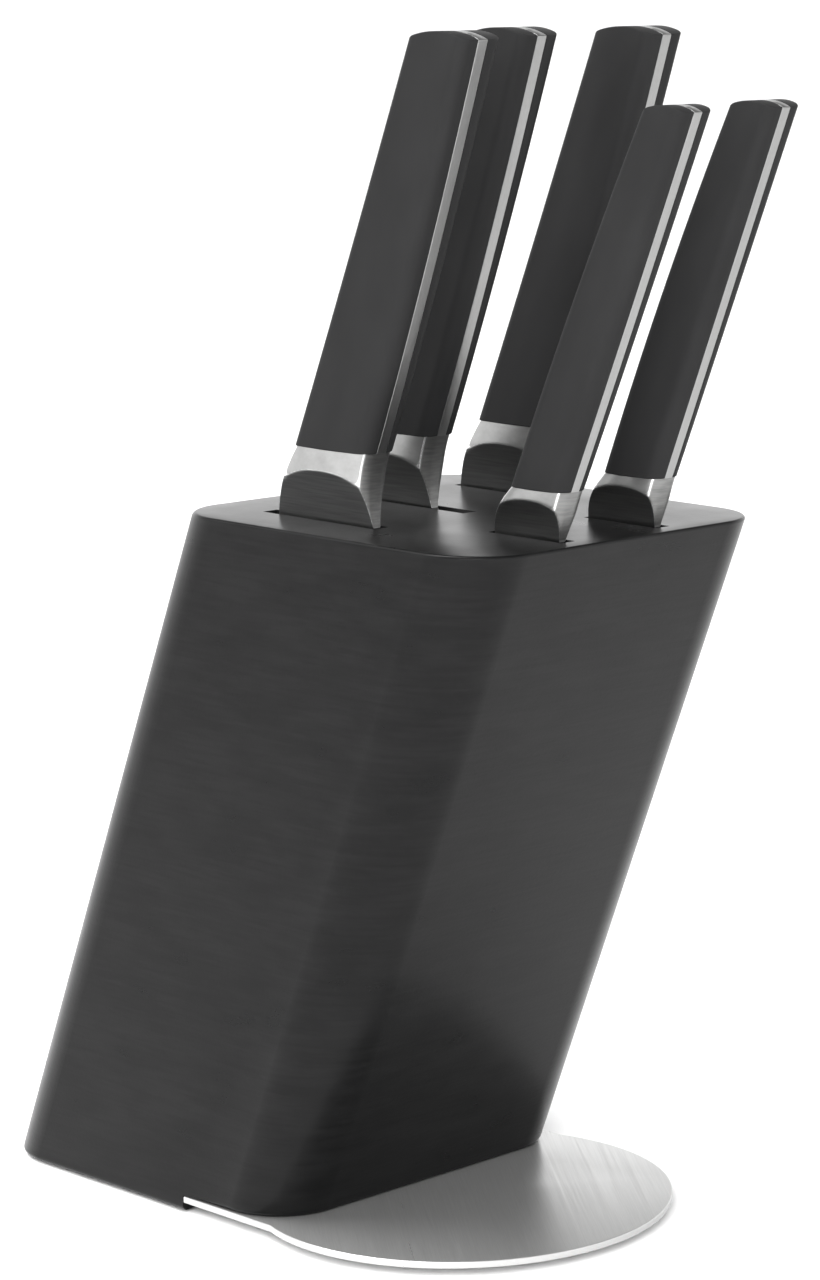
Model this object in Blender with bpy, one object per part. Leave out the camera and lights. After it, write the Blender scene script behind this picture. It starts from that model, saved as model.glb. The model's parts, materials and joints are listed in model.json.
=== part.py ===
"""Slanted knife block on a steel base plate, with five full-tang knives in its slots.

Metres, +Z up. The origin is the centre of the round part of the base plate, on the table.
The block leans towards -Y. The knives slide in and out along the lean.
"""
import math
from dataclasses import dataclass

import bmesh
import bpy
from mathutils import Vector

MM = 0.001
GAP = 0.3 * MM

# Block: an upright square prism with round corners, sheared forward.
BLOCK_SIDE = 120 * MM
BLOCK_HEIGHT = 200.7 * MM
BLOCK_LEAN = 75.5 * MM
BLOCK_CORNER = 19.7 * MM
BLOCK_BOTTOM = 1.0 * MM
BLOCK_CENTRE_Y = 76.4 * MM
CORNER_STEPS = 8
CORNER_START = 0.4       # first step round the corner, in steps past where the face ends

# Slots: grooves milled into the left face of a board, closed by its neighbour.
SLOT_PITCH = 19.2 * MM
SLOT_WIDTH = 5.4 * MM
SLOT_BITE = 6.0 * MM     # how far the groove's cutter reaches out of the board's face
GROOVE_ABOVE = 6.0       # millimetres: how far it reaches over the block's top

# Base plate: straight flanks under the block, then a wide oval.
PLATE_HALF_X = 63.2 * MM
PLATE_HALF_Y = 56.3 * MM
PLATE_BOTTOM = 3.4 * MM
PLATE_THICK = 2.0 * MM
PLATE_BACK_Y = 53.3 * MM
PLATE_STEPS = 56

PAD_RADIUS = 36 * MM
PAD_EDGE = 0.4 * MM
PAD_STEPS = 40
FOOT_RADIUS = 6 * MM
FOOT_HEIGHT = 2.2 * MM
FOOT_EDGE = 0.5 * MM
FOOT_PLACES = ((-48 * MM, 112 * MM), (48 * MM, 112 * MM))

SCREW_HEAD_RADIUS = 4.0 * MM
SCREW_HEAD_DEPTH = 1.9 * MM
SCREW_SHANK_RADIUS = 1.8 * MM
SCREW_LENGTH = 15 * MM
SCREW_TAPER = 4 * MM
SCREW_POINT = 0.3 * MM
SOCKET_RADIUS = 1.6 * MM
SOCKET_WALL = 1.0 * MM
SOCKET_DEPTH = 1.4 * MM
SOCKET_TIP = 0.32 * MM
SCREW_PLACES = ((-48 * MM, 43 * MM), (48 * MM, 43 * MM), (-30 * MM, 28 * MM), (30 * MM, 28 * MM))

PIN_RADIUS = 1.5 * MM
PIN_BITE = 2.6 * MM      # how deep it goes into each scale
PIN_STEPS = 12
ROUND_STEPS = 16

LEAN_LENGTH = math.hypot(BLOCK_HEIGHT, BLOCK_LEAN)
LEAN_SIN = BLOCK_LEAN / LEAN_LENGTH
LEAN_COS = BLOCK_HEIGHT / LEAN_LENGTH
TOP_Y = BLOCK_CENTRE_Y - BLOCK_LEAN
TOP_Z = BLOCK_BOTTOM + BLOCK_HEIGHT
PLATE_TOP = PLATE_BOTTOM + PLATE_THICK


@dataclass
class Knife:
    """One knife, in millimetres.

    Across counts backwards from the middle of the block's top face, and along counts up the lean
    from it, so a negative along is inside the block.
    """
    name: str
    lane: int                # slot plane, in pitches from the middle
    slot: tuple              # across: front end, back end
    slot_depth: float
    joint: float             # along: where the scales meet the bolster
    butt: float              # along: the two corners of the butt
    crown: float             # how far the butt rises between its corners
    back: tuple              # across: handle's back edge at joint, middle, butt
    width: tuple             # handle's width at joint, middle, butt
    thick: tuple             # handle's thickness at joint, butt
    tang: float              # tang's thickness
    ramp_top: float          # along: where the bolster starts to thin
    neck: tuple              # across: front and back edge where the blade enters the slot
    heel: float              # across: the cutting edge just below the slot's mouth
    blade: float             # blade's length inside the slot
    tip: float               # across: where the point is
    spine: float             # blade's thickness at the spine
    pins: tuple              # along: concealed pins


KNIVES = (
    Knife("bread_knife", -2, (-3.0, 40.2), 204, 21.8, 140.5, 2.2, (33.3, 32.0, 31.3),
          (29.1, 25.9, 21.3), (13.6, 15.6), 3.6, 15.6, (-1.9, 34.9), -1.9, 196, 22.0, 2.6,
          (38, 80, 124)),
    Knife("chef_knife", 0, (0.5, 51.0), 206, 21.8, 140.5, 2.2, (47.8, 46.5, 45.8),
          (29.1, 25.9, 21.3), (13.6, 15.6), 3.6, 15.6, (13.4, 49.4), 2.2, 198, 40.0, 2.6,
          (38, 80, 124)),
    Knife("carving_knife", 2, (-3.0, 40.2), 204, 21.8, 140.5, 2.2, (36.9, 35.6, 34.9),
          (29.1, 25.9, 21.3), (13.6, 15.6), 3.6, 15.6, (6.0, 38.8), 6.0, 196, 30.0, 2.4,
          (38, 80, 124)),
    Knife("utility_knife", -1, (-53.6, -27.4), 132, 14.6, 122.5, 1.8, (-31.3, -33.8, -38.3),
          (19.9, 18.6, 14.7), (12.4, 13.6), 3.3, 11.7, (-52.0, -28.7), -52.0, 124, -38.0, 2.4,
          (28, 104)),
    Knife("paring_knife", 1, (-53.6, -27.4), 108, 14.6, 122.5, 1.8, (-30.4, -31.4, -35.0),
          (20.2, 19.2, 15.4), (12.4, 13.6), 3.3, 11.7, (-52.1, -28.0), -52.1, 90, -34.0, 2.4,
          (28, 104)),
)

# Shapes that all five knives share, in millimetres unless they are shares of a length.
EDGE_ROUND = (4.2, 3.2)          # how round the scales' outer edges are at the joint, at the butt
EDGE_STEPS = 4
HANDLE_RINGS = 5
BUTT_RUN = (3.0, 1.0)            # how far below the butt's corners its rounding starts and turns
BUTT_SHARE = 0.8                 # share of the crown that it has there
BUTT_INSET = 0.9
RAMP_LINEAR = 0.55               # straight share of the ramp; the rest is hollow
RAMP_HOLLOW = 2.5
RAMP_SHARES = (0.0, 0.2, 0.4, 0.6, 0.75, 0.9, 1.0)
BOLSTER_BELLY = 0.4
BOLSTER_CORNER = 0.2             # flat left between the bolster's rounded edges
HEEL_RUN = 8.0                   # how far down the heel takes to reach the cutting edge's line
BELLY_START = 0.45               # share of the blade where the cutting edge starts to curve
BELLY_POWER = 2.2
SPINE_START = 0.7                # share of the blade where the spine starts to drop
POINT_WIDTH = 1.0
DISTAL_TAPER = 0.45              # how much thinner the spine is at the point
CUTTING_SHARE = 0.12             # the cutting edge's thickness, as a share of the spine's
GRIND_POWER = 0.6
UNIT_SECTION = (2.0, 0.2)        # thickness and rounding of the section that is scaled to the blade
BLADE_SHARES = (1.0, 0.985, 0.95, 0.9, 0.8, 0.7, 0.5)
HEEL_STATIONS = (-8.0, -4.0, -1.5)
TANG_INSET = 0.05
TANG_CORNER = 0.25
TANG_RINGS = 4


def clear_scene():
    for obj in list(bpy.data.objects):
        bpy.data.objects.remove(obj, do_unlink=True)


def material(name, colour, roughness, metallic):
    mat = bpy.data.materials.new(name)
    mat.use_nodes = True
    shader = mat.node_tree.nodes["Principled BSDF"]
    shader.inputs["Base Color"].default_value = (*colour, 1.0)
    shader.inputs["Roughness"].default_value = roughness
    shader.inputs["Metallic"].default_value = metallic
    mat.diffuse_color = (*colour, 1.0)
    return mat


def place(x, across, along):
    """World point for millimetres in a knife's slanted frame."""
    run = along * MM
    return Vector((x * MM, TOP_Y + across * MM - run * LEAN_SIN, TOP_Z + run * LEAN_COS))


def add_object(name, mesh, mat, parent=None):
    obj = bpy.data.objects.new(name, mesh)
    bpy.context.scene.collection.objects.link(obj)
    mesh.materials.clear()
    mesh.materials.append(mat)
    if parent is not None:
        obj.parent = parent
        obj.matrix_parent_inverse = parent.matrix_world.inverted()
    return obj


def mesh_from(bm, name):
    bmesh.ops.recalc_face_normals(bm, faces=bm.faces)
    mesh = bpy.data.meshes.new(name)
    bm.to_mesh(mesh)
    bm.free()
    mesh.shade_smooth()
    mesh.set_sharp_from_angle(angle=math.radians(35))
    return mesh


def loft(name, rings):
    """Closed solid through rings of equal length, first and last capped."""
    bm = bmesh.new()
    rows = [[bm.verts.new(point) for point in ring] for ring in rings]
    count = len(rings[0])
    for low, high in zip(rows, rows[1:]):
        for i in range(count):
            j = (i + 1) % count
            bm.faces.new((low[i], low[j], high[j], high[i]))
    bm.faces.new(rows[0])
    bm.faces.new(rows[-1])
    return mesh_from(bm, name)


def circle(radius, z, cx=0.0, cy=0.0, steps=ROUND_STEPS):
    turn = 2 * math.pi / steps
    return [Vector((cx + radius * math.cos(i * turn), cy + radius * math.sin(i * turn), z))
            for i in range(steps)]


def cut(obj, *cutters):
    """Subtracts closed meshes from an object and keeps only the result."""
    for index, mesh in enumerate(cutters):
        cutter = bpy.data.objects.new(f"{obj.name}_cutter_{index}", mesh)
        bpy.context.scene.collection.objects.link(cutter)
        cutter.hide_render = True
        cutter.display_type = "WIRE"
        step = obj.modifiers.new("cut", "BOOLEAN")
        step.operation = "DIFFERENCE"
        step.solver = "EXACT"
        step.object = cutter
        result = bpy.data.meshes.new_from_object(
            obj.evaluated_get(bpy.context.evaluated_depsgraph_get()))
        obj.modifiers.clear()
        obj.data = result
        bpy.data.objects.remove(cutter, do_unlink=True)


def quadratic(t, start, middle, end):
    """Smooth value through three values at t = 0, 0.5 and 1."""
    return (start * (1 - t) * (1 - 2 * t) + middle * 4 * t * (1 - t) + end * t * (2 * t - 1))


# ---------------------------------------------------------------- block

def block_half_depth(x):
    """Half the block's depth at x, which shrinks round the upright corners."""
    flat = BLOCK_SIDE / 2 - BLOCK_CORNER
    over = max(0.0, abs(x) - flat)
    return flat + math.sqrt(max(0.0, BLOCK_CORNER ** 2 - over ** 2))


def board_ring(x):
    half = block_half_depth(x)
    low, high = BLOCK_CENTRE_Y, TOP_Y
    return [Vector((x, low + half, BLOCK_BOTTOM)), Vector((x, low - half, BLOCK_BOTTOM)),
            Vector((x, high - half, TOP_Z)), Vector((x, high + half, TOP_Z))]


def board_stations(left, right):
    """X places along a board, close together where the corner is round."""
    flat = BLOCK_SIDE / 2 - BLOCK_CORNER
    stations = {left, right}
    for i in range(CORNER_STEPS):
        turn = math.radians(90 * (i + CORNER_START) / CORNER_STEPS)
        x = flat + BLOCK_CORNER * math.sin(turn)
        for side in (-x, x):
            if left < side < right:
                stations.add(side)
    return sorted(stations)


def box_cutter(low, high):
    outline = ((low[0], low[2]), (high[0], low[2]), (high[0], high[2]), (low[0], high[2]))
    return loft("box_cutter", [[Vector((x, y, z)) for x, z in outline] for y in (low[1], high[1])])


def groove_cutter(knife):
    """Slanted bar from above the block's top down to the slot's floor."""
    centre = knife.lane * SLOT_PITCH / MM
    left = centre - SLOT_BITE / MM
    right = centre + SLOT_WIDTH / MM / 2
    front, back = knife.slot
    outline = ((left, back), (right, back), (right, front), (left, front))
    return loft("groove_cutter", [[place(x, across, along) for x, across in outline]
                                  for along in (-knife.slot_depth, GROOVE_ABOVE)])


def build_block(paint):
    lanes = sorted(KNIVES, key=lambda knife: knife.lane)
    seams = [knife.lane * SLOT_PITCH - SLOT_WIDTH / 2 for knife in lanes]
    edges = [-BLOCK_SIDE / 2] + seams + [BLOCK_SIDE / 2]
    boards = []
    for index, (left, right) in enumerate(zip(edges, edges[1:])):
        inner_left = left + GAP / 2 if index > 0 else left
        inner_right = right - GAP / 2 if index < len(seams) else right
        rings = [board_ring(x) for x in board_stations(inner_left, inner_right)]
        board = add_object(f"block_board_{index + 1}", loft("board", rings), paint)
        reach = BLOCK_SIDE
        cut(board, box_cutter((-reach, -reach, -reach),
                              (reach, PLATE_BACK_Y + GAP, PLATE_TOP + GAP)))
        if index > 0:
            cut(board, groove_cutter(lanes[index - 1]))
        boards.append((board, inner_left, inner_right))
    for x, y in FOOT_PLACES:
        drill(boards, x, y, FOOT_RADIUS + GAP, BLOCK_BOTTOM - MM, FOOT_HEIGHT + GAP)
    for x, y in SCREW_PLACES:
        drill(boards, x, y, SCREW_SHANK_RADIUS + GAP, PLATE_TOP - MM,
              PLATE_BOTTOM + SCREW_LENGTH + GAP)
    return boards


def drill(boards, x, y, radius, low, high):
    """Blind hole up into whichever board stands at x."""
    for board, left, right in boards:
        if left < x < right:
            cut(board, loft("drill", [circle(radius, low, x, y), circle(radius, high, x, y)]))


# ---------------------------------------------------------------- base

def plate_outline():
    half = BLOCK_SIDE / 2
    start = math.acos(half / PLATE_HALF_X)
    points = [(half, PLATE_BACK_Y), (-half, PLATE_BACK_Y)]
    sweep = math.pi + 2 * start
    for i in range(PLATE_STEPS + 1):
        angle = math.pi - start + sweep * i / PLATE_STEPS
        points.append((PLATE_HALF_X * math.cos(angle), PLATE_HALF_Y * math.sin(angle)))
    return points


def build_base(steel, rubber, zinc):
    outline = plate_outline()
    rings = [[Vector((x, y, z)) for x, y in outline] for z in (PLATE_BOTTOM, PLATE_TOP)]
    plate = add_object("base_plate", loft("plate", rings), steel)
    head, shank = SCREW_HEAD_RADIUS + GAP, SCREW_SHANK_RADIUS + GAP
    for x, y in SCREW_PLACES:
        cut(plate, loft("countersink", [
            circle(head, PLATE_BOTTOM - MM, x, y),
            circle(head, PLATE_BOTTOM, x, y),
            circle(shank, PLATE_BOTTOM + SCREW_HEAD_DEPTH, x, y),
            circle(shank, PLATE_TOP + MM, x, y)]))
    pad = ((PAD_RADIUS - PAD_EDGE, 0.0), (PAD_RADIUS, PAD_EDGE), (PAD_RADIUS, PLATE_BOTTOM - GAP))
    rings = [circle(radius, z, steps=PAD_STEPS) for radius, z in pad]
    add_object("base_grip_pad", loft("pad", rings), rubber)
    for side, (x, y) in zip(("left", "right"), FOOT_PLACES):
        foot = ((FOOT_RADIUS - FOOT_EDGE, 0.0), (FOOT_RADIUS, FOOT_EDGE), (FOOT_RADIUS, FOOT_HEIGHT))
        rings = [circle(radius, z, x, y) for radius, z in foot]
        add_object(f"rear_foot_{side}", loft("foot", rings), rubber)
    for index, (x, y) in enumerate(SCREW_PLACES):
        add_object(f"plate_screw_{index + 1}", screw_mesh(x, y), zinc)


def screw_mesh(x, y):
    """Countersunk wood screw, head down and flush with the plate, with a drive recess."""
    profile = ((SOCKET_TIP, SOCKET_DEPTH), (SOCKET_RADIUS, SOCKET_WALL), (SOCKET_RADIUS, 0.0),
               (SCREW_HEAD_RADIUS, 0.0), (SCREW_SHANK_RADIUS, SCREW_HEAD_DEPTH),
               (SCREW_SHANK_RADIUS, SCREW_LENGTH - SCREW_TAPER), (SCREW_POINT, SCREW_LENGTH))
    return loft("screw", [circle(radius, PLATE_BOTTOM + up, x, y) for radius, up in profile])


# ---------------------------------------------------------------- knives

def handle_edges(knife, along):
    """Front and back edge of the handle, and its thickness and edge rounding."""
    t = (along - knife.joint) / (knife.butt - knife.joint)
    back = quadratic(t, *knife.back)
    front = back - quadratic(t, *knife.width)
    thick = knife.thick[0] + (knife.thick[1] - knife.thick[0]) * t
    rounding = EDGE_ROUND[0] + (EDGE_ROUND[1] - EDGE_ROUND[0]) * t
    return front, back, thick, rounding


def corner_arc(x, across, radius, start):
    """Quarter circle of (x, across) points about a corner's centre."""
    turns = [math.radians(start + 90 * i / EDGE_STEPS) for i in range(EDGE_STEPS + 1)]
    return [(x + radius * math.cos(turn), across + radius * math.sin(turn)) for turn in turns]


def rounded_section(front, back, thick, radius):
    """Rounded rectangle, counted from the right side's back corner round to its front corner."""
    half = thick / 2 - radius
    return (corner_arc(half, back - radius, radius, 0) + corner_arc(-half, back - radius, radius, 90)
            + corner_arc(-half, front + radius, radius, 180)
            + corner_arc(half, front + radius, radius, 270))


def crown_rise(knife, across, along):
    """Extra rise of the butt between its front and back corners."""
    front, back, _, _ = handle_edges(knife, along)
    off = (2 * across - front - back) / (back - front)
    return knife.crown * (1 - min(1.0, off * off))


def scale_ring(knife, side, along, inset=0.0, crowned=0.0):
    """D-shaped ring of one scale: flat against the tang, round outside."""
    front, back, thick, radius = handle_edges(knife, along)
    inner = knife.tang / 2 + GAP / MM
    front, back, thick = front + inset, back - inset, thick - 2 * inset
    half = thick / 2 - radius
    outer = corner_arc(half, front + radius, radius, -90) + corner_arc(half, back - radius, radius, 0)
    points = [(inner, front)] + outer + [(inner, back)]
    return [place(knife.lane * SLOT_PITCH / MM + side * x, across,
                  along + crowned * crown_rise(knife, across, along)) for x, across in points]


def scale_mesh(knife, side):
    first = knife.joint + GAP / MM
    last = knife.butt
    span = last - BUTT_RUN[0] - first
    rings = [scale_ring(knife, side, first + span * i / HANDLE_RINGS)
             for i in range(HANDLE_RINGS + 1)]
    rings.append(scale_ring(knife, side, last - BUTT_RUN[1], crowned=BUTT_SHARE))
    rings.append(scale_ring(knife, side, last, inset=BUTT_INSET, crowned=1.0))
    return loft("scale", rings)


def ramp_half(knife, along):
    """Half thickness that the ground ramp leaves, from the bolster down to the blade."""
    t = max(0.0, along) / knife.ramp_top
    share = RAMP_LINEAR * t + (1 - RAMP_LINEAR) * t ** RAMP_HOLLOW
    return knife.spine / 2 + (knife.thick[0] - knife.spine) / 2 * share


def bolster_ring(knife, along):
    """Ring of the bolster: the handle's section, flared towards the neck and cut by the ramp."""
    t = along / knife.joint
    front_top, back_top, thick, radius = handle_edges(knife, knife.joint)
    front = front_top + (knife.neck[0] - front_top) * (1 - t) ** 2
    back = quadratic(1 - t, back_top, knife.neck[1] + BOLSTER_BELLY, knife.neck[1])
    half = ramp_half(knife, along) if along < knife.ramp_top else thick / 2
    section = rounded_section(front, back, thick, min(radius, thick / 2 - BOLSTER_CORNER))
    centre = knife.lane * SLOT_PITCH / MM
    return [place(centre + max(-half, min(half, x)), across, along) for x, across in section]


def blade_ring(knife, along):
    """Wedge-shaped ring of the blade inside the slot, from spine to cutting edge."""
    depth = -along / knife.blade
    heel_done = min(1.0, -along / HEEL_RUN)
    edge = knife.neck[0] + (knife.heel - knife.neck[0]) * heel_done
    curve = max(0.0, depth - BELLY_START) / (1 - BELLY_START)
    front = edge + (knife.tip - POINT_WIDTH - edge) * curve ** BELLY_POWER
    spine_drop = max(0.0, depth - SPINE_START) / (1 - SPINE_START)
    back = knife.neck[1] + (knife.tip - knife.neck[1]) * spine_drop ** 2
    back = max(back, front + POINT_WIDTH)
    half = knife.spine * (1 - DISTAL_TAPER * depth) / 2
    centre = knife.lane * SLOT_PITCH / MM
    points = []
    for x, across in rounded_section(front, back, *UNIT_SECTION):
        from_edge = min(1.0, max(0.0, (across - front) / (back - front)))
        share = CUTTING_SHARE + (1 - CUTTING_SHARE) * from_edge ** GRIND_POWER
        points.append(place(centre + x * half * share, across, along))
    return points


def tang_ring(knife, along, crowned):
    front, back, _, _ = handle_edges(knife, along)
    section = rounded_section(front + TANG_INSET, back - TANG_INSET, knife.tang, TANG_CORNER)
    centre = knife.lane * SLOT_PITCH / MM
    return [place(centre + x, across, along + crowned * crown_rise(knife, across, along))
            for x, across in section]


def blade_mesh(knife):
    """Forged blade, bolster and tang in one solid."""
    rings = [blade_ring(knife, -knife.blade * share) for share in BLADE_SHARES]
    rings += [blade_ring(knife, along) for along in HEEL_STATIONS]
    rings += [bolster_ring(knife, knife.ramp_top * share) for share in RAMP_SHARES]
    rings.append(bolster_ring(knife, knife.joint))
    span = knife.butt - knife.joint
    rings += [tang_ring(knife, knife.joint + span * i / TANG_RINGS, 0.0) for i in range(TANG_RINGS)]
    rings.append(tang_ring(knife, knife.butt, 1.0))
    return loft("blade", rings)


def pin_mesh(knife, along, grow=0.0):
    """Concealed pin across the tang, ending inside both scales."""
    front, back, _, _ = handle_edges(knife, along)
    centre = place(knife.lane * SLOT_PITCH / MM, (front + back) / 2, along)
    reach = knife.tang / 2 * MM + GAP + PIN_BITE + grow
    outline = [(point.x, point.y) for point in circle(PIN_RADIUS + grow, 0.0, steps=PIN_STEPS)]
    return loft("pin", [[centre + Vector((x, y, z)) for y, z in outline] for x in (-reach, reach)])


def build_knife(knife, steel, scale_black):
    """Blade, two scales and pins, under an empty on the knife's sliding line."""
    slide = bpy.data.objects.new(f"{knife.name}_slide", None)
    slide.location = place(knife.lane * SLOT_PITCH / MM, sum(knife.neck) / 2, 0.0)
    bpy.context.scene.collection.objects.link(slide)
    bpy.context.view_layer.update()
    blade = add_object(f"{knife.name}_blade", blade_mesh(knife), steel, slide)
    left = add_object(f"{knife.name}_scale_left", scale_mesh(knife, -1), scale_black, slide)
    right = add_object(f"{knife.name}_scale_right", scale_mesh(knife, 1), scale_black, slide)
    for index, along in enumerate(knife.pins):
        for part in (blade, left, right):
            cut(part, pin_mesh(knife, along, grow=GAP))
        add_object(f"{knife.name}_pin_{index + 1}", pin_mesh(knife, along), steel, slide)


def main():
    clear_scene()
    paint = material("black_painted_wood", (0.042, 0.042, 0.043), 0.5, 0.0)
    plate_steel = material("brushed_plate_steel", (0.62, 0.62, 0.62), 0.32, 1.0)
    blade_steel = material("knife_steel", (0.60, 0.60, 0.60), 0.28, 1.0)
    zinc = material("screw_steel", (0.52, 0.52, 0.50), 0.4, 1.0)
    rubber = material("black_rubber", (0.02, 0.02, 0.02), 0.8, 0.0)
    scale_black = material("black_scale", (0.04, 0.04, 0.04), 0.48, 0.0)
    build_block(paint)
    build_base(plate_steel, rubber, zinc)
    for knife in KNIVES:
        build_knife(knife, blade_steel, scale_black)


main()
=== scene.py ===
"""Looks of the knife block: painted block, brushed base plate and five full-tang knives.

Metres, +Z up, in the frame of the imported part. A knife's own shape is given in millimetres in a slanted
frame: across counts backwards from the middle of the block's top face, along counts up the lean from it.
"""
import json
import math
from dataclasses import dataclass

import bmesh
import bpy
from mathutils import Matrix, Vector


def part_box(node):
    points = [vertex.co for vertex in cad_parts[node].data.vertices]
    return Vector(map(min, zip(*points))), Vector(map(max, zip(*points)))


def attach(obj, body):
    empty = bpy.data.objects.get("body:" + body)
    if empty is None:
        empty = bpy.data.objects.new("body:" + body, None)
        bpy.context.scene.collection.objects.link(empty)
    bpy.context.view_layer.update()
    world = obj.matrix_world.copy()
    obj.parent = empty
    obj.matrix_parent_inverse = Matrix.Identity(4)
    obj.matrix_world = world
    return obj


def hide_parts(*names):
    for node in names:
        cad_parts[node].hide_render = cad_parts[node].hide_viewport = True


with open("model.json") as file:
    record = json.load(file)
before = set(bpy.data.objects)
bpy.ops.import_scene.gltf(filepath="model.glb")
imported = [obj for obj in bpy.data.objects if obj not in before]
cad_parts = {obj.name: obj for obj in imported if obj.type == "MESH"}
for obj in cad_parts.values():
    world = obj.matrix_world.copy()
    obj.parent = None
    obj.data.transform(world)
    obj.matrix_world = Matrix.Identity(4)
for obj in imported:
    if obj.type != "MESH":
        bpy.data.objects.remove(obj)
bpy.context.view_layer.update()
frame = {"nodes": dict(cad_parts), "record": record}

MM = 0.001

# ---------------------------------------------------------------- places taken from the frame

BLOCK_NODES = frame["record"]["behaviour"]["bodies"]["block"]
BOARDS = [node for node in BLOCK_NODES if node.startswith("block_board_")]
SCREWS = [node for node in BLOCK_NODES if node.startswith("plate_screw_")]
FEET = [node for node in BLOCK_NODES if node.startswith("rear_foot_")]


def joined_box(nodes):
    """Lowest and highest corner of several nodes together."""
    boxes = [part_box(node) for node in nodes]
    return (Vector(tuple(min(low[k] for low, _ in boxes) for k in range(3))),
            Vector(tuple(max(high[k] for _, high in boxes) for k in range(3))))


BLOCK_LOW, BLOCK_HIGH = joined_box(BOARDS)
PLATE_LOW, PLATE_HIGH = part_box("base_plate")
HALF_SIDE = (BLOCK_HIGH.x - BLOCK_LOW.x) / 2
TOP_Y = BLOCK_LOW.y + HALF_SIDE
TOP_Z = BLOCK_HIGH.z
BASE_Y = BLOCK_HIGH.y - HALF_SIDE
BASE_Z = BLOCK_LOW.z
LEAN = Vector((0.0, TOP_Y - BASE_Y, TOP_Z - BASE_Z)).normalized()
LEAN_ANGLE = math.atan2(-LEAN.y, LEAN.z)

# ---------------------------------------------------------------- block and base

BLOCK_CORNER = 19.7 * MM
CORNER_STEPS = 24
TOP_RIM = 1.1 * MM
BOTTOM_RIM = 1.6 * MM
RIM_STEPS = 5
CLEARANCE = 0.1 * MM         # between the block, its plate, feet and screws
RECESS_STEP = 0.3 * MM       # between the plate's straight back edge and the block
OVERSHOOT = 1.0 * MM         # how far a round cutter reaches past what it cuts
SAME_LEVEL = 0.01 * MM
UPRIGHT = 0.6                # a face is a side when its normal's z is below this
LEVEL = 0.9                  # and the plate's top or bottom when it is above this
SHARP_ANGLE = 32             # degrees: flatter edges than this are shaded smooth

PLATE_STEPS = 168
PLATE_RIM = 0.3 * MM
PLATE_RIM_STEPS = 3
SCREW_HEAD_DEPTH = 1.9 * MM
SHANK_SHARE = 0.5            # a screw's shank, as a share of its head
PAD_EDGE = 0.8 * MM
FOOT_EDGE = 0.5 * MM
EDGE_TURN = 15               # degrees between the points of a disc's round edge
DISC_STEPS = 96
HOLE_STEPS = 64

# ---------------------------------------------------------------- slots and knives, in millimetres

SLOT_SIDES = (-2.1, 3.0)     # a slot's walls, from its blade's middle plane
SLOT_MOUTH = 0.3             # how far down the mouth's flare reaches, and how far it widens
SLOT_FLARE = 0.15
CUTTER_RISE = 2.0            # how far a slot's cutter stands out of it, and widens

CORNER_LEVELS = 9            # across a section: rows round each corner, and rows between them
MIDDLE_LEVELS = 20
HANDLE_STATIONS = 34
EDGE_ROUND = (4.2, 3.2)      # scales' outer edges, at the joint and at the butt
SIDE_CROWN = 0.35            # how far a scale's broad side bulges
SCALE_GAP = 0.06             # between the bolster and the scales
SCALE_CHAMFER = 0.18
BUTT_ROUND = 0.3
BUTT_STEPS = 4
CROWN_RUN = 2.0              # how far below the butt its crown starts to rise
TANG_SEAM = 0.1              # gap between tang and scale
TANG_STEP = 0.02             # how far the tang stands back from the bolster
TANG_EDGE = 0.25

CREASE = 0.3                 # softness of the bolster's ground edge
NOSE = 1.6                   # bolster's narrow faces: how far back their creases lie
NOSE_FLAT = 1.2              # half width of the flat in the middle of a narrow face
SIDE_POWER = 2.4             # how suddenly the bolster's crowned sides fall to their creases
NECK_BELLY = 0.4
RAMP_STEP = 0.35             # between stations along the bolster
RAMP_LINEAR = 0.55           # straight share of the ramp; the rest is hollow
RAMP_HOLLOW = 2.5
ARCH_POLISH_HIGHLIGHT_OFFSET = 0.15             # how much less polish and painted highlight the arch's edge gets than the creases
POLISH_HIGHLIGHT_REACH = 0.3                 # no polish or painted highlight shows this far from an edge
MARKS = ("ground", "polish_and_highlight_edge", "narrow_face")
ON_BLADE = (1.0, 1.0, 0.0)   # the marks' values on the blade and on the tang
ON_TANG = (-1.0, 1.0, 0.0)

HEEL_RUN = 8.0               # how far down the heel takes to reach the cutting edge's line
BELLY_START = 0.45           # share of the blade where the cutting edge starts to curve
BELLY_POWER = 2.2
SPINE_START = 0.7            # share of the blade where the spine starts to drop
POINT_WIDTH = 0.4
DISTAL_TAPER = 0.45          # how much thinner the spine is at the point
BLADE_STEP = 2.0             # between stations along a plain blade, and a serrated one
SCALLOPED_STEP = 1.0
SCALLOP_START = 12.0
SCALLOP_PITCH = 9.0
SCALLOP_POWER = 0.7
SCALLOP_FADE = 0.5
SHARP_RUN = 3.0              # how far down the blade takes to become sharp
EDGE_SHARE = 0.2             # the grind at the edge, as a share of the spine
GRIND_POWER = 0.8
EDGE_HALF = 0.05
BEVEL_SLOPE = 0.28
SPINE_EDGE = 0.5
SPINE_FLAT = 0.05            # least flat half left between the spine's rounded edges
BLADE_CORNER = 1.2           # how far from its edges a blade's rows are bunched
EDGE_OPEN = 9.0              # moves the rounding of the front edge off the blade


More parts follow.
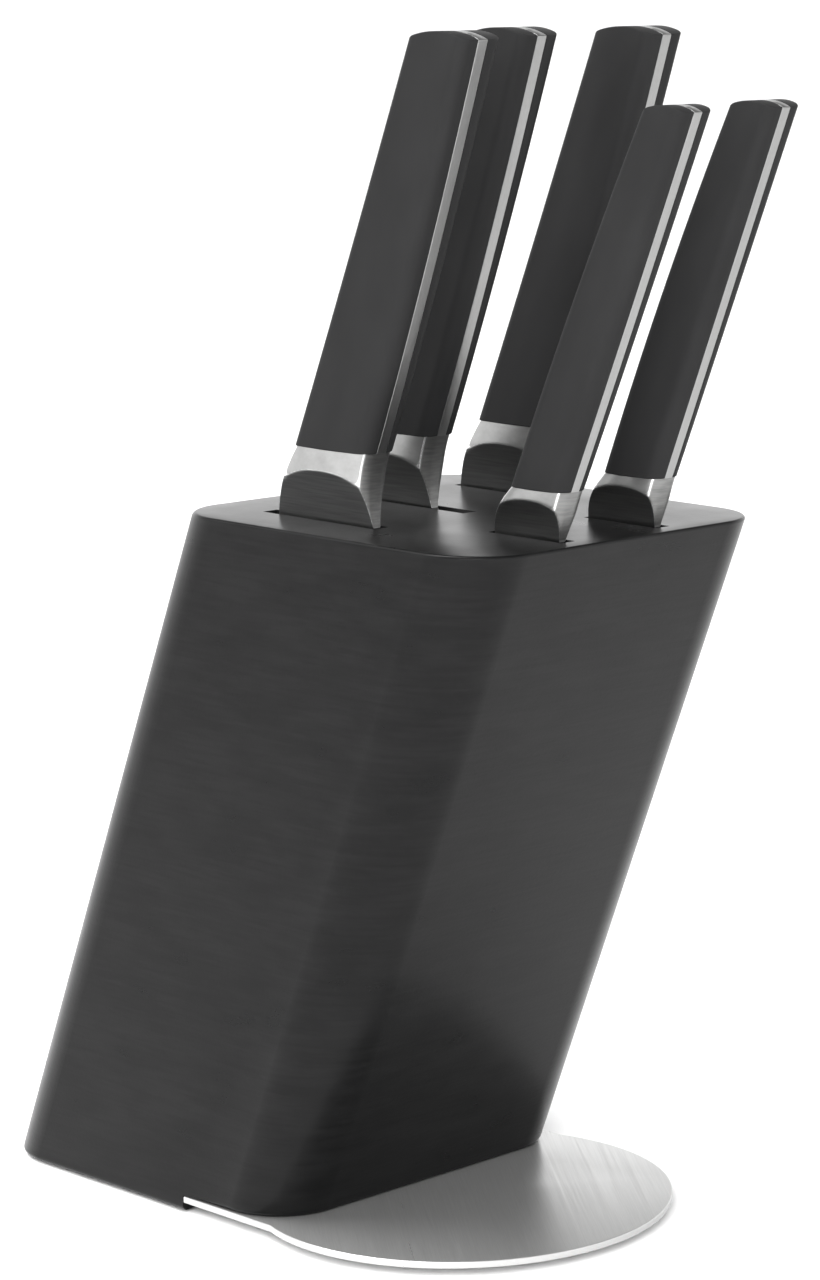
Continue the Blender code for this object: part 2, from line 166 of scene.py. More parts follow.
@dataclass
class Knife:
    """One knife, in millimetres."""
    name: str
    slot: tuple              # across: front end, back end
    slot_depth: float
    joint: float             # along: where the scales meet the bolster
    butt: float              # along: the two corners of the butt
    crown: float             # how far the butt rises between its corners
    back: tuple              # across: handle's back edge at joint, middle, butt
    width: tuple             # handle's width at joint, middle, butt
    thick: tuple             # handle's thickness at joint, butt
    tang: float              # tang's thickness
    ramp_top: float          # along: top of the arch where the bolster starts to thin
    crease: float            # bolster's half thickness at the creases
    neck: tuple              # across: front and back edge where the blade enters the slot
    heel: float              # across: the cutting edge just below the slot's mouth
    blade: float             # blade's length inside the slot
    tip: float               # across: where the point is
    spine: float             # blade's thickness at the spine
    scallop: float = 0.0     # depth of the serrations

    def __post_init__(self):
        """The knife's middle plane is where its packed blade is."""
        low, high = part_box(f"{self.name}_blade")
        self.centre = (low.x + high.x) / 2 / MM


LARGE_WIDTH = (29.1, 25.9, 21.3)
LARGE_THICK = (13.6, 15.6)
SMALL_THICK = (12.4, 13.6)
KNIVES = (
    Knife("bread_knife", (-3.0, 40.2), 204, 21.8, 140.5, 2.2, (33.3, 32.0, 31.3), LARGE_WIDTH,
          LARGE_THICK, 3.6, 15.6, 4.9, (-1.9, 34.9), -1.9, 196, 22.0, 2.6, scallop=1.1),
    Knife("chef_knife", (0.5, 51.0), 206, 21.8, 140.5, 2.2, (47.8, 46.5, 45.8), LARGE_WIDTH,
          LARGE_THICK, 3.6, 15.6, 4.9, (13.4, 49.4), 2.2, 198, 40.0, 2.6),
    Knife("carving_knife", (-3.0, 40.2), 204, 21.8, 140.5, 2.2, (36.9, 35.6, 34.9), LARGE_WIDTH,
          LARGE_THICK, 3.6, 15.6, 4.9, (6.0, 38.8), 6.0, 196, 30.0, 2.4),
    Knife("utility_knife", (-53.6, -27.4), 132, 14.6, 122.5, 1.8, (-31.3, -33.8, -38.3),
          (19.9, 18.6, 14.7), SMALL_THICK, 3.3, 11.6, 4.75, (-52.0, -28.7), -52.0, 124, -38.0, 2.4),
    Knife("paring_knife", (-53.6, -27.4), 108, 14.6, 122.5, 1.8, (-30.4, -31.4, -35.0),
          (20.2, 19.2, 15.4), SMALL_THICK, 3.3, 11.6, 4.75, (-52.1, -28.0), -52.1, 90, -34.0, 2.4),
)

# ---------------------------------------------------------------- stage and camera

FLOOR_RADIUS = 14.0
FLOOR_GREYS = (0.80, 0.82)
LIGHTS_AIM = Vector((0.0, 0.0, 0.15))
SUN_ENERGY = 2.9
SUN_SPREAD = 38              # degrees
SUN_TILT = 22                # degrees from straight down
SUN_AZIMUTH = -140
HORIZON = 2.15               # brightness of the surroundings at the horizon and overhead
ZENITH = 0.25
SKY_FADE = (0.15, 0.6)       # height, as a direction's z, between which one becomes the other
CAMERA_AZIMUTH = -45.770
CAMERA_ELEVATION = 10.416
CAMERA_ROLL = 0.452
CAMERA_PLACE = (-0.79229, -0.74770, 0.36603)
CAMERA_LENS = 111.76
CAMERA_SENSOR = 36.0

# ---------------------------------------------------------------- materials

PLATE_BRUSHING = math.radians(50)
DARK_LINES = 0.86            # a brushed line's dark side, as a share of the steel's colour
BAND_WIDTH = 5               # bands of rougher brushing, in line widths


class Surface:
    """A Principled material with a few helpers for its patterns."""

    def __init__(self, name, roughness, metallic=0.0, colour=(0.5, 0.5, 0.5), **constants):
        self.material = bpy.data.materials.new(name)
        self.material.use_nodes = True
        self.nodes = self.material.node_tree.nodes
        self.links = self.material.node_tree.links
        self.shader = self.nodes["Principled BSDF"]
        self.coordinates = self.nodes.new("ShaderNodeTexCoord").outputs["Object"]
        self.shader.inputs["Base Color"].default_value = (*colour, 1.0)
        self.shader.inputs["Roughness"].default_value = roughness
        self.shader.inputs["Metallic"].default_value = metallic
        for socket, value in constants.items():
            self.shader.inputs[socket.replace("_", " ")].default_value = value

    def noise(self, size, turn=(0.0, 0.0, 0.0), detail=2.0, roughness=0.5, seed=0.0):
        """Noise whose features measure size (metres, along each axis of a turned frame)."""
        mapping = self.nodes.new("ShaderNodeMapping")
        mapping.vector_type = "TEXTURE"
        mapping.inputs["Location"].default_value = (seed, seed, seed)
        mapping.inputs["Rotation"].default_value = turn
        mapping.inputs["Scale"].default_value = size
        pattern = self.nodes.new("ShaderNodeTexNoise")
        pattern.inputs["Scale"].default_value = 1.0
        pattern.inputs["Detail"].default_value = detail
        pattern.inputs["Roughness"].default_value = roughness
        self.links.new(self.coordinates, mapping.inputs["Vector"])
        self.links.new(mapping.outputs["Vector"], pattern.inputs["Vector"])
        return pattern.outputs["Fac"]

    def mark(self, name):
        """A value that the mesh carries at its points."""
        attribute = self.nodes.new("ShaderNodeAttribute")
        attribute.attribute_name = name
        return attribute.outputs["Fac"]

    def spread(self, value, low, high, start=0.3, end=0.7):
        """A value's range from start to end, stretched from low to high. Noise lies about 0.3 to 0.7."""
        node = self.nodes.new("ShaderNodeMapRange")
        node.inputs["From Min"].default_value = start
        node.inputs["From Max"].default_value = end
        node.inputs["To Min"].default_value = low
        node.inputs["To Max"].default_value = high
        self.links.new(value, node.inputs["Value"])
        return node.outputs["Result"]

    def combine(self, operation, first, second):
        node = self.nodes.new("ShaderNodeMath")
        node.operation = operation
        self.links.new(first, node.inputs[0])
        self.links.new(second, node.inputs[1])
        return node.outputs["Value"]

    def tint(self, share, dark, light):
        """Fixed colour dark where share is 0, light where it is 1."""
        node = self.nodes.new("ShaderNodeMix")
        node.data_type = "RGBA"
        node.inputs["A"].default_value = (*dark, 1.0)
        node.inputs["B"].default_value = (*light, 1.0)
        self.links.new(share, node.inputs["Factor"])
        return node.outputs["Result"]

    def blend(self, share, first, second):
        """First colour pattern where share is 0, second where it is 1."""
        node = self.nodes.new("ShaderNodeMix")
        node.data_type = "RGBA"
        for socket, value in (("Factor", share), ("A", first), ("B", second)):
            self.links.new(value, node.inputs[socket])
        return node.outputs["Result"]

    def bump(self, height, depth, under=None):
        """Relief of depth metres, over an earlier relief if one is given."""
        node = self.nodes.new("ShaderNodeBump")
        node.inputs["Strength"].default_value = 1.0
        node.inputs["Distance"].default_value = depth
        self.links.new(height, node.inputs["Height"])
        if under is not None:
            self.links.new(under, node.inputs["Normal"])
        return node.outputs["Normal"]

    def set(self, socket, value):
        self.links.new(value, self.shader.inputs[socket])

    def tangent(self, along):
        """Direction of the brushing, for stretched highlights."""
        direction = self.nodes.new("ShaderNodeCombineXYZ")
        for axis, value in zip("XYZ", along):
            direction.inputs[axis].default_value = value
        self.set("Tangent", direction.outputs["Vector"])


def painted_wood():
    """Satin black lacquer over fine, level grain."""
    paint = Surface("black_painted_wood", 0.3, Specular_IOR_Level=0.115)
    grain = paint.noise((0.018, 0.018, 0.0011), detail=4.0, roughness=0.6)
    cloud = paint.noise((0.022, 0.022, 0.009), detail=5.0, roughness=0.62, seed=0.31)
    peel = paint.noise((0.0013, 0.0013, 0.0009), detail=2.0, seed=0.17)
    mixed = paint.spread(paint.combine("MULTIPLY", grain, cloud), 0.0, 1.0, start=0.16, end=0.36)
    dark, light = (0.003, 0.003, 0.0031), (0.0052, 0.0052, 0.0053)
    paint.set("Base Color", paint.tint(mixed, dark, light))
    paint.set("Roughness", paint.spread(cloud, low=0.27, high=0.32))
    fine = paint.bump(peel, depth=0.016 * MM)
    paint.set("Normal", paint.bump(grain, depth=0.025 * MM, under=fine))
    return paint.material


def brushed_steel(name, cloud_size, line_size, colour, roughness, turn, depth, anisotropic, tangent,
                  metallic=1.0):
    """Steel with straight brushing: long features along one axis of the turned frame."""
    steel = Surface(name, roughness, metallic, colour, Anisotropic=anisotropic)
    lines = steel.noise(line_size, turn, detail=3.0, roughness=0.65)
    bands = steel.noise(tuple(side * BAND_WIDTH for side in line_size), turn, detail=2.0, seed=0.23)
    cloud = steel.noise(cloud_size, turn, detail=3.0, seed=0.41)
    dark = tuple(channel * DARK_LINES for channel in colour)
    steel.set("Base Color", steel.tint(steel.spread(lines, 0.0, 1.0), dark, colour))
    band_swing, cloud_swing = 0.04, 0.02
    steel.set("Roughness", steel.combine(
        "ADD", steel.spread(bands, roughness - band_swing, roughness + band_swing),
        steel.spread(cloud, -cloud_swing, cloud_swing)))
    steel.set("Normal", steel.bump(lines, depth))
    steel.tangent(tangent)
    return steel.material


def plate_steel():
    """Brushed slantwise across the plate."""
    return brushed_steel(
        "brushed_plate_steel", cloud_size=(0.05, 0.02, 0.02), line_size=(0.014, 0.00014, 0.00014),
        colour=(0.50, 0.50, 0.496), roughness=0.33, turn=(0.0, 0.0, PLATE_BRUSHING),
        depth=0.0006 * MM, anisotropic=0.2,
        tangent=(math.cos(PLATE_BRUSHING), math.sin(PLATE_BRUSHING), 0.0), metallic=0.8)


def tang_steel():
    """Brushed along the handle."""
    return brushed_steel(
        "satin_tang_steel", cloud_size=(0.01, 0.01, 0.03), line_size=(0.00016, 0.00016, 0.009),
        colour=(0.28, 0.28, 0.277), roughness=0.36, turn=(LEAN_ANGLE, 0.0, 0.0),
        depth=0.002 * MM, anisotropic=0.3, tangent=tuple(LEAN))


def forged_steel():
    """Satin bolster with duller narrow faces and polished edges with a painted highlight, over a
    level-ground blade.
    """
    steel = Surface("forged_knife_steel", 0.3, 1.0, Anisotropic=0.3)
    ground = steel.spread(steel.mark("ground"), 0.0, 1.0, start=0.0, end=0.12)
    # painted highlight: near the creases and the arch's edge the colour is brightened towards white; the
    # lower roughness there is polish
    polish_and_highlight = steel.spread(steel.mark("polish_and_highlight_edge"), 1.0, 0.0, start=0.04, end=POLISH_HIGHLIGHT_REACH)
    narrow = steel.spread(steel.mark("narrow_face"), 0.0, 1.0, start=0.1, end=0.5)
    lines = steel.noise((0.006, 0.009, 0.00013), detail=3.0, roughness=0.62)
    streaks = steel.noise((0.006, 0.016, 0.0006), detail=3.0, seed=0.13)
    haze = steel.noise((0.004, 0.006, 0.004), detail=4.0, roughness=0.6, seed=0.37)
    hazy = steel.spread(haze, 0.0, 1.0)
    streaky = steel.spread(streaks, 0.0, 1.0)
    wide_streaks = steel.spread(streaks, 0.0, 1.0, start=0.25, end=0.75)
    satin = steel.tint(hazy, (0.25, 0.25, 0.247), (0.32, 0.32, 0.317))
    dull = steel.tint(streaky, (0.13, 0.13, 0.128), (0.19, 0.19, 0.187))
    rough_cut = steel.tint(wide_streaks, (0.26, 0.26, 0.26), (0.38, 0.38, 0.377))
    # colour of the painted highlight along the edges
    bright = steel.tint(polish_and_highlight, (0.85, 0.85, 0.85), (0.95, 0.95, 0.95))
    colour = steel.blend(ground, steel.blend(narrow, satin, dull), rough_cut)
    steel.set("Base Color", steel.blend(polish_and_highlight, colour, bright))
    polish = steel.spread(polish_and_highlight, 0.0, -0.12, start=0.0, end=1.0)
    steel.set("Roughness", steel.combine("ADD", steel.spread(haze, low=0.33, high=0.38), polish))
    steel.set("Metallic", steel.spread(ground, 0.88, 1.0, start=0.0, end=1.0))
    cut = steel.combine("MULTIPLY", lines, steel.spread(ground, 0.03, 1.0, start=0.0, end=1.0))
    steel.set("Normal", steel.bump(cut, depth=0.0028 * MM))
    steel.tangent((0.0, 1.0, 0.0))
    return steel.material


def satin_scale():
    """Moulded black handle scale with a fine stipple."""
    scale = Surface("black_satin_scale", 0.5, Specular_IOR_Level=0.048)
    stipple = scale.noise((0.00042, 0.00042, 0.00042), detail=2.0)
    cloud = scale.noise((0.006, 0.012, 0.03), (LEAN_ANGLE, 0.0, 0.0), detail=3.0, seed=0.52)
    dark, light = (0.0115, 0.0115, 0.0117), (0.0145, 0.0145, 0.0147)
    scale.set("Base Color", scale.tint(scale.spread(cloud, 0.0, 1.0), dark, light))
    scale.set("Roughness", scale.spread(cloud, low=0.50, high=0.56))
    scale.set("Normal", scale.bump(stipple, depth=0.012 * MM))
    return scale.material


def rubber():
    """Matte black rubber with a slight bloom."""
    pad = Surface("black_rubber", 0.75)
    speck = pad.noise((0.0008, 0.0008, 0.0008), detail=3.0)
    bloom = pad.noise((0.01, 0.01, 0.01), detail=3.0, seed=0.11)
    dark, light = (0.018, 0.018, 0.018), (0.03, 0.03, 0.029)
    pad.set("Base Color", pad.tint(pad.spread(bloom, 0.0, 1.0), dark, light))
    pad.set("Roughness", pad.spread(bloom, low=0.68, high=0.82))
    pad.set("Normal", pad.bump(speck, depth=0.05 * MM))
    return pad.material


def zinc():
    """Bright zinc plating with light tool marks."""
    plating = Surface("zinc_plated_steel", 0.35, 1.0)
    marks = plating.noise((0.0006, 0.0006, 0.0006), detail=4.0)
    haze = plating.noise((0.004, 0.004, 0.004), detail=3.0, seed=0.37)
    dark, light = (0.46, 0.46, 0.44), (0.58, 0.58, 0.57)
    plating.set("Base Color", plating.tint(plating.spread(haze, 0.0, 1.0), dark, light))
    plating.set("Roughness", plating.spread(haze, low=0.28, high=0.42))
    plating.set("Normal", plating.bump(marks, depth=0.02 * MM))
    return plating.material


def pale_floor():
    floor = Surface("pale_floor", 0.85)
    cloud = floor.noise((0.6, 0.6, 0.6))
    dark, light = ((grey, grey, grey) for grey in FLOOR_GREYS)
    floor.set("Base Color", floor.tint(floor.spread(cloud, 0.0, 1.0), dark, light))
    return floor.material


# ---------------------------------------------------------------- mesh tools

def finish_mesh(bm, name, materials):
    """Mesh with smooth shading except over its sharp edges."""
    bmesh.ops.recalc_face_normals(bm, faces=bm.faces)
    mesh = bpy.data.meshes.new(name)
    bm.to_mesh(mesh)
    bm.free()
    mesh.shade_smooth()
    mesh.set_sharp_from_angle(angle=math.radians(SHARP_ANGLE))
    for material in materials:
        mesh.materials.append(material)
    return mesh


def add_piece(mesh, body, slot, *replaced):
    """Object for a mesh in the frame's coordinates, tied to its CAD body and nodes."""
    piece = bpy.data.objects.new(mesh.name, mesh)
    bpy.context.scene.collection.objects.link(piece)
    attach(piece, body)
    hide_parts(*replaced)


def prism(rings):
    """Closed bmesh through rings of equal length, first and last capped."""
    bm = bmesh.new()
    rows = [[bm.verts.new(point) for point in ring] for ring in rings]
    count = len(rings[0])
    for low, high in zip(rows, rows[1:]):
        for i in range(count):
            j = (i + 1) % count
            bm.faces.new((low[i], low[j], high[j], high[i]))
    bm.faces.new(rows[0])
    bm.faces.new(rows[-1])
    bmesh.ops.recalc_face_normals(bm, faces=bm.faces)
    return bm


def lofted(stations, marks=()):
    """Closed bmesh over stations, each a pair of point rows that run from front edge to back edge.

    Marks holds for each station the values of MARKS at each point of its rows, in millimetres: how deep
    the grinding has cut, how far off a polished edge with a painted highlight it is, and how far inside a
    narrow face the point lies.
    """
    bm = bmesh.new()
    layers = [bm.verts.layers.float.new(name) for name in MARKS] if marks else []
    grid = [[[bm.verts.new(point) for point in row] for row in station] for station in stations]
    for station, rows in zip(grid, marks):
        for row in station:
            for vert, values in zip(row, rows):
                for layer, value in zip(layers, values):
                    vert[layer] = value
    for low, high in zip(grid, grid[1:]):
        below = low[0] + low[1][::-1]
        above = high[0] + high[1][::-1]
        for i in range(len(below)):
            j = (i + 1) % len(below)
            bm.faces.new((below[i], below[j], above[j], above[i]))
    for first, second in (grid[0], grid[-1]):
        for i in range(len(first) - 1):
            bm.faces.new((first[i], first[i + 1], second[i + 1], second[i]))
    return bm


def subtract(bm, cutters):
    """The bmesh less closed cutter bmeshes."""
    def as_object(source):
        mesh = bpy.data.meshes.new("work")
        source.to_mesh(mesh)
        source.free()
        obj = bpy.data.objects.new("work", mesh)
        bpy.context.scene.collection.objects.link(obj)
        return obj

    body = as_object(bm)
    tools = [as_object(cutter) for cutter in cutters]
    for tool in tools:
        step = body.modifiers.new("cut", "BOOLEAN")
        step.operation = "DIFFERENCE"
        step.solver = "EXACT"
        step.object = tool
    result = bmesh.new()
    result.from_object(body, bpy.context.evaluated_depsgraph_get())
    for obj in [body] + tools:
        bpy.data.objects.remove(obj, do_unlink=True)
    return result


def bevel(bm, edges, size, steps, **options):
    bmesh.ops.bevel(bm, geom=edges, offset=size, segments=steps, profile=0.5, affect="EDGES", **options)


def circle(radius, z, cx=0.0, cy=0.0, steps=HOLE_STEPS):
    turn = 2 * math.pi / steps
    return [Vector((cx + radius * math.cos(i * turn), cy + radius * math.sin(i * turn), z))
            for i in range(steps)]


def node_disc(node):
    """Middle and outer radius of a round upright node, and its lowest and highest level."""
    low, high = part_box(node)
    return (low + high) / 2, (high.x - low.x) / 2, low.z, high.z


def place(x, across, along):
    """World point for millimetres in the slanted frame."""
    return Vector((x * MM, TOP_Y + across * MM, TOP_Z)) + LEAN * (along * MM)


# ---------------------------------------------------------------- block

def block_outline(y, z):
    """Rounded square about (0, y)."""
    reach = HALF_SIDE - BLOCK_CORNER
    points = []
    for quarter, (side_x, side_y) in enumerate(((1, 1), (-1, 1), (-1, -1), (1, -1))):
        for i in range(CORNER_STEPS + 1):
            angle = math.pi / 2 * (quarter + i / CORNER_STEPS)
            points.append(Vector((side_x * reach + BLOCK_CORNER * math.cos(angle),
                                  y + side_y * reach + BLOCK_CORNER * math.sin(angle), z)))
    return points


def slot_cutter(knife):
    """Slanted bar down to the slot's floor, flared at the mouth."""
    rings = []
    profile = ((-knife.slot_depth, 0.0), (-SLOT_MOUTH, 0.0), (0.0, SLOT_FLARE), (CUTTER_RISE, CUTTER_RISE))
    for along, flare in profile:
        left, right = SLOT_SIDES[0] - flare, SLOT_SIDES[1] + flare
        front, back = knife.slot[0] - flare, knife.slot[1] + flare
        rings.append([place(knife.centre + x, across, along) for x, across in
                      ((left, front), (right, front), (right, back), (left, back))])
    return prism(rings)


def foot_hole(node):
    spot, radius, _, top = node_disc(node)
    return prism([circle(radius + CLEARANCE, z, spot.x, spot.y) for z in (-OVERSHOOT, top + CLEARANCE)])


def build_block(paint):
    """Block with a recess for the plate, rounded rims, slots and holes for the feet."""
    ceiling = PLATE_HIGH.z + CLEARANCE
    step_y = PLATE_HIGH.y + RECESS_STEP
    reach = 4 * HALF_SIDE
    profile = ((-reach, -reach), (reach, -reach), (reach, ceiling), (-reach, ceiling))
    recess = prism([[Vector((x, y, z)) for x, z in profile] for y in (-reach, step_y)])
    body = subtract(prism([block_outline(BASE_Y, BASE_Z), block_outline(TOP_Y, TOP_Z)]), [recess])

    def at_level(edge, z):
        return all(abs(vert.co.z - z) < SAME_LEVEL for vert in edge.verts)

    def on_step(edge):
        return all(abs(vert.co.y - step_y) < SAME_LEVEL for vert in edge.verts)

    def beside_a_side(edge):
        return any(abs(face.normal.z) < UPRIGHT for face in edge.link_faces)

    top = [edge for edge in body.edges if at_level(edge, TOP_Z)]
    bevel(body, top, TOP_RIM, RIM_STEPS)
    low = [edge for edge in body.edges
           if (at_level(edge, BASE_Z) or at_level(edge, ceiling)) and beside_a_side(edge)
           and not on_step(edge)]
    bevel(body, low, BOTTOM_RIM, RIM_STEPS, clamp_overlap=True)
    body = subtract(body, [slot_cutter(knife) for knife in KNIVES] + [foot_hole(node) for node in FEET])
    add_piece(finish_mesh(body, "block_body", [paint]), "block", "block_paint", *BOARDS)


# ---------------------------------------------------------------- base

def plate_outline():
    """Straight flanks under the block, then an oval all the way round in front."""
    half_x, half_y = PLATE_HIGH.x, -PLATE_LOW.y
    start = math.acos(HALF_SIDE / half_x)
    points = [(HALF_SIDE, PLATE_HIGH.y), (-HALF_SIDE, PLATE_HIGH.y)]
    sweep = math.pi + 2 * start
    for i in range(PLATE_STEPS + 1):
        angle = math.pi - start + sweep * i / PLATE_STEPS
        points.append((half_x * math.cos(angle), half_y * math.sin(angle)))
    return points


def countersink(node):
    """Hole through the plate for one screw."""
    spot, radius, _, _ = node_disc(node)
    head = radius + CLEARANCE
    shank = head * SHANK_SHARE
    profile = ((head, PLATE_LOW.z - OVERSHOOT), (head, PLATE_LOW.z),
               (shank, PLATE_LOW.z + SCREW_HEAD_DEPTH), (shank, PLATE_HIGH.z + OVERSHOOT))
    return prism([circle(step, z, spot.x, spot.y) for step, z in profile])


def build_plate(steel):
    outline = plate_outline()
    body = prism([[Vector((x, y, z)) for x, y in outline] for z in (PLATE_LOW.z, PLATE_HIGH.z)])
    rims = [edge for edge in body.edges if any(abs(face.normal.z) > LEVEL for face in edge.link_faces)]
    bevel(body, rims, PLATE_RIM, PLATE_RIM_STEPS)
    body = subtract(body, [countersink(node) for node in SCREWS])
    add_piece(finish_mesh(body, "steel_base_plate", [steel]), "block", "plate_steel", "base_plate")


def build_disc(node, name, edge, material):
    """Rubber disc as tall as its node, with a round lower edge."""
    spot, radius, bottom, top = node_disc(node)
    profile = []
    for degrees in range(0, 91, EDGE_TURN):
        angle = math.radians(degrees)
        profile.append((radius - edge + edge * math.sin(angle), bottom + edge - edge * math.cos(angle)))
    profile.append((radius, top))
    body = prism([circle(reach, z, spot.x, spot.y, DISC_STEPS) for reach, z in profile])
    add_piece(finish_mesh(body, name, [material]), "block", "rubber", node)


# ---------------------------------------------------------------- knives

def quadratic(t, start, centre, end):
    """Smooth value through three values at t = 0, 0.5 and 1."""
    return start * (1 - t) * (1 - 2 * t) + centre * 4 * t * (1 - t) + end * t * (2 * t - 1)


def soft_min(first, second, width):
    """The smaller value, with a rounded change-over."""
    overlap = max(width - abs(first - second), 0.0) / width
    return min(first, second) - overlap * overlap * width / 4


def handle_edges(knife, along):
    """Front and back edge of the handle, and its thickness and edge rounding."""
    t = (along - knife.joint) / (knife.butt - knife.joint)
    back = quadratic(t, *knife.back)
    front = back - quadratic(t, *knife.width)
    thick = knife.thick[0] + (knife.thick[1] - knife.thick[0]) * t
    rounding = EDGE_ROUND[0] + (EDGE_ROUND[1] - EDGE_ROUND[0]) * t
    return front, back, thick, rounding


def levels(front, back, radius):
    """Across positions from front to back, bunched where the corners turn."""
    turn = math.pi / 2 / CORNER_LEVELS
    corner = [radius * (1 - math.cos(turn * i)) for i in range(CORNER_LEVELS)]
    span = back - front - 2 * radius
    flat = [front + radius + span * i / MIDDLE_LEVELS for i in range(MIDDLE_LEVELS + 1)]
    return [front + step for step in corner] + flat + [back - step for step in reversed(corner)]


def section_half(across, front, back, thick, radius, crown=0.0):
    """Half thickness of a rounded section at one place across it."""
    over = max(front + radius - across, across - back + radius, 0.0)
    drop = radius - math.sqrt(max(radius * radius - over * over, 0.0))
    off = (2 * across - front - back) / (back - front)
    return thick / 2 - drop - crown * off * off


def crown_rise(knife, across, along):
    """Extra rise of the butt between its front and back corners."""
    front, back, _, _ = handle_edges(knife, along)
    off = (2 * across - front - back) / (back - front)
    return knife.crown * (1 - min(1.0, off * off))


def handle_plan(knife, first):
    """(along, inset, lift) of a handle's stations: even up to the butt, then round its end."""
    last = knife.butt - BUTT_ROUND
    plan = [(first + (last - first) * i / HANDLE_STATIONS, 0.0) for i in range(1, HANDLE_STATIONS)]
    turn = math.pi / 2 / BUTT_STEPS
    for i in range(BUTT_STEPS + 1):
        along = knife.butt - BUTT_ROUND * (1 - math.sin(turn * i))
        plan.append((along, BUTT_ROUND * (1 - math.cos(turn * i))))
    return [(along, inset, max(0.0, (along - last + CROWN_RUN) / (BUTT_ROUND + CROWN_RUN)))
            for along, inset in plan]


def scale_stations(knife, side):
    """Stations of one scale: flat against the tang, round outside."""
    first = knife.joint + SCALE_GAP
    flat = knife.centre + side * (knife.tang / 2 + TANG_SEAM)
    plan = [(first, SCALE_CHAMFER, 0.0), (first + SCALE_CHAMFER, 0.0, 0.0)]
    plan += handle_plan(knife, first + SCALE_CHAMFER)
    stations = []
    for along, inset, lift in plan:
        front, back, thick, radius = handle_edges(knife, along)
        front, back, thick, radius = front + inset, back - inset, thick - 2 * inset, radius - inset
        inner, outer = [], []
        for across in levels(front, back, radius):
            height = along + lift * crown_rise(knife, across, along)
            half = section_half(across, front, back, thick, radius, SIDE_CROWN)
            inner.append(place(flat, across, height))
            outer.append(place(knife.centre + side * half, across, height))
        stations.append((inner, outer))
    return stations


def ramp_half(knife, along):
    """Half thickness that the ground ramp leaves, from the bolster down to the blade."""
    t = max(0.0, along) / knife.ramp_top
    share = RAMP_LINEAR * t + (1 - RAMP_LINEAR) * t ** RAMP_HOLLOW
    return knife.spine / 2 + (knife.thick[0] - knife.spine) / 2 * share


def mirrored(knife, along, halves, rise=None):
    """Station of a symmetric section: (across, half) pairs on both sides of the middle plane."""
    lifts = rise or [0.0] * len(halves)
    return tuple([place(knife.centre + side * half, across, along + lift)
                  for (across, half), lift in zip(halves, lifts)] for side in (-1, 1))


def bolster_half(knife, across, front, back, thick):
    """Half thickness of the forged bolster: crowned sides that meet rounded narrow faces in a crease."""
    inward = min(across - front, back - across)
    face = NOSE_FLAT + (knife.crease - NOSE_FLAT) * math.sqrt(max(inward, 0.0) / NOSE)
    off = abs(2 * across - front - back) / (back - front - 2 * NOSE)
    side = thick / 2 - (thick / 2 - knife.crease) * off ** SIDE_POWER
    return face if inward < NOSE and face < side else side


def bolster_station(knife, along):
    """Bolster section, flared towards the neck and ground away by the ramp, and its marks."""
    t = along / knife.joint
    front_top, back_top, thick, _ = handle_edges(knife, knife.joint)
    front = front_top + (knife.neck[0] - front_top) * (1 - t) ** 2
    back = quadratic(1 - t, back_top, knife.neck[1] + NECK_BELLY, knife.neck[1])
    limit = ramp_half(knife, along)
    halves, marks = [], []
    for across in levels(front, back, NOSE):
        full = bolster_half(knife, across, front, back, thick)
        halves.append((across, soft_min(full, limit, CREASE)))
        ground = full - limit
        off_crease = min(across - front, back - across) - NOSE
        # distance to the crease or the arch's edge, where the steel gets polish and a painted highlight
        off_edge = min(abs(ground) + ARCH_POLISH_HIGHLIGHT_OFFSET, abs(off_crease) if ground < 0 else POLISH_HIGHLIGHT_REACH)
        marks.append((ground, off_edge, -off_crease))
    return mirrored(knife, along, halves), marks


def cutting_edge(knife, along):
    """Front edge of the blade below the slot's mouth."""
    depth = -along / knife.blade
    heel_done = min(1.0, -along / HEEL_RUN)
    straight = knife.neck[0] + (knife.heel - knife.neck[0]) * heel_done
    curve = max(0.0, depth - BELLY_START) / (1 - BELLY_START)
    edge = straight + (knife.tip - POINT_WIDTH - straight) * curve ** BELLY_POWER
    if knife.scallop and along < -SCALLOP_START:
        wave = abs(math.sin(math.pi * along / SCALLOP_PITCH)) ** SCALLOP_POWER
        edge += knife.scallop * wave * (1 - SCALLOP_FADE * curve)
    return edge


def blade_station(knife, along):
    """Tapered blade: flat grind from the spine, then the edge bevel."""
    depth = -along / knife.blade
    front = cutting_edge(knife, along)
    drop = max(0.0, depth - SPINE_START) / (1 - SPINE_START)
    back = max(knife.neck[1] + (knife.tip - knife.neck[1]) * drop ** 2, front + POINT_WIDTH)
    half_spine = knife.spine * (1 - DISTAL_TAPER * depth) / 2
    rounding = min(SPINE_EDGE, half_spine - SPINE_FLAT)
    sharpened = min(1.0, -along / SHARP_RUN)
    halves = []
    for across in levels(front, back, min(BLADE_CORNER, (back - front) / 3)):
        share = (across - front) / (back - front)
        grind = (EDGE_SHARE + (1 - EDGE_SHARE) * share ** GRIND_POWER) * half_spine
        wedge = min(grind, EDGE_HALF + (across - front) * BEVEL_SLOPE)
        top = section_half(across, front - EDGE_OPEN, back, 2 * half_spine, rounding)
        halves.append((across, min(top, half_spine * (1 - sharpened) + wedge * sharpened)))
    return mirrored(knife, along, halves)


def tang_station(knife, along, inset, lift):
    """Tang section, with its edges rounded and its end crowned like the scales."""
    front, back, _, _ = handle_edges(knife, along)
    front, back = front + inset, back - inset
    halves = [(across, section_half(across, front, back, knife.tang - inset, TANG_EDGE))
              for across in levels(front, back, TANG_EDGE)]
    rise = [lift * crown_rise(knife, across, along) for across, _ in halves]
    return mirrored(knife, along, halves, rise)


